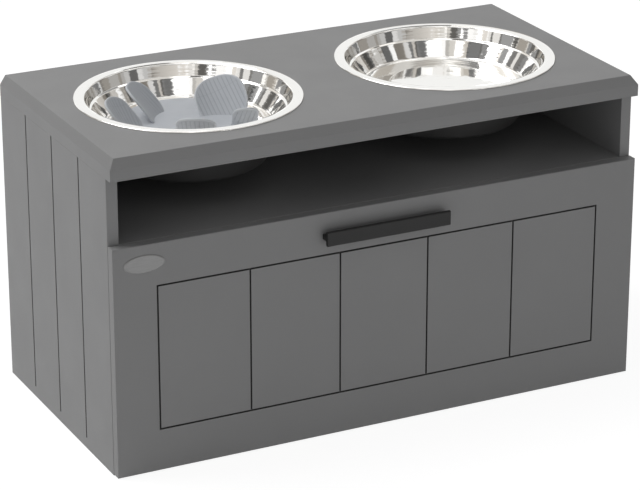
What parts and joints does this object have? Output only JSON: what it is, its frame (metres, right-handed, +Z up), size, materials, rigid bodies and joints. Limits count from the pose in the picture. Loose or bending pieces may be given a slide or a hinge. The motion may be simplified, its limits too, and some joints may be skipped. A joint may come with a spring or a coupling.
{
  "type": "elevated dog feeder",
  "caption": "Raised pet feeder cabinet with lift-out round steel bowls, an open shelf and a wide pull-out storage drawer.",
  "frame": {"origin": "on the floor at the middle of the overall box, the handle's reach in front included", "axes": "+X to the right of someone who faces the drawer, +Y to the rear, +Z up"},
  "size_m": [0.6, 0.312, 0.3506],
  "materials": {
    "grey_paint": "matt grey painted MDF",
    "grey_board": "satin grey laminate",
    "beech": "raw fluted beech",
    "coated_steel": "white epoxy coat",
    "zinc_cast": "tumbled zinc casting",
    "plated_steel": "zinc plated",
    "roller_plastic": "white nylon",
    "black_metal": "satin black powder coat",
    "polished_steel": "mirror polished stainless steel",
    "dull_steel": "dull drawn stainless steel",
    "insert_rubber": "matt ribbed silicone rubber"
  },
  "bodies": {
    "cabinet": {"top_board": "grey_paint", "left_side_panel": "grey_paint", "right_side_panel": "grey_paint", "shelf_board": "grey_paint", "base_board": "grey_paint", "back_panel": "grey_paint", "cabinet_cam_locks": "zinc_cast", "cabinet_cam_bolts": "plated_steel", "cabinet_dowels": "beech", "left_cabinet_runner": "coated_steel", "right_cabinet_runner": "coated_steel", "cabinet_runner_screws": "plated_steel", "cabinet_roller_axles": "plated_steel"},
    "drawer": {"drawer_front": "grey_paint", "left_drawer_side": "grey_board", "right_drawer_side": "grey_board", "drawer_back": "grey_board", "drawer_bottom": "grey_board", "drawer_cam_locks": "zinc_cast", "drawer_cam_bolts": "plated_steel", "drawer_back_screws": "plated_steel", "left_drawer_runner": "coated_steel", "right_drawer_runner": "coated_steel", "drawer_runner_screws": "plated_steel", "drawer_roller_axles": "plated_steel", "handle_bar": "black_metal", "handle_screws": "plated_steel"},
    "left_front_roller": {"left_cabinet_roller": "roller_plastic"},
    "right_front_roller": {"right_cabinet_roller": "roller_plastic"},
    "left_rear_roller": {"left_drawer_roller": "roller_plastic"},
    "right_rear_roller": {"right_drawer_roller": "roller_plastic"},
    "left_bowl": {"left_bowl_liner": "polished_steel", "left_bowl_shell": "dull_steel"},
    "right_bowl": {"right_bowl_liner": "polished_steel", "right_bowl_shell": "dull_steel"},
    "insert": {"slow_feed_insert": "insert_rubber"}
  },
  "joints": [
    {"name": "drawer_slide", "type": "slide", "parent": "cabinet", "child": "drawer", "axis": [0, -1, 0], "range_m": [0, 0.19]},
    {"name": "left_front_roller_spin", "type": "hinge", "parent": "cabinet", "child": "left_front_roller", "pos_m": [-0.2833, -0.12, 0.04775], "axis": [1, 0, 0], "range_deg": [0, 1282]},
    {"name": "right_front_roller_spin", "type": "hinge", "parent": "cabinet", "child": "right_front_roller", "pos_m": [0.2833, -0.12, 0.04775], "axis": [1, 0, 0], "range_deg": [0, 1282]},
    {"name": "left_rear_roller_spin", "type": "hinge", "parent": "drawer", "child": "left_rear_roller", "pos_m": [-0.2802, 0.105, 0.04775], "axis": [1, 0, 0], "range_deg": [0, 1282]},
    {"name": "right_rear_roller_spin", "type": "hinge", "parent": "drawer", "child": "right_rear_roller", "pos_m": [0.2802, 0.105, 0.04775], "axis": [1, 0, 0], "range_deg": [0, 1282]},
    {"name": "left_bowl_lift", "type": "slide", "parent": "cabinet", "child": "left_bowl", "axis": [0, 0, 1], "range_m": [0, 0.09]},
    {"name": "right_bowl_lift", "type": "slide", "parent": "cabinet", "child": "right_bowl", "axis": [0, 0, 1], "range_m": [0, 0.09]},
    {"name": "insert_lift", "type": "slide", "parent": "left_bowl", "child": "insert", "axis": [0, 0, 1], "range_m": [0, 0.06]}
  ],
  "couplings": [
    {"joint": "left_front_roller_spin", "follows": "drawer_slide", "rad_per_m": 117.65},
    {"joint": "right_front_roller_spin", "follows": "drawer_slide", "rad_per_m": 117.65},
    {"joint": "left_rear_roller_spin", "follows": "drawer_slide", "rad_per_m": 117.65},
    {"joint": "right_rear_roller_spin", "follows": "drawer_slide", "rad_per_m": 117.65}
  ]
}
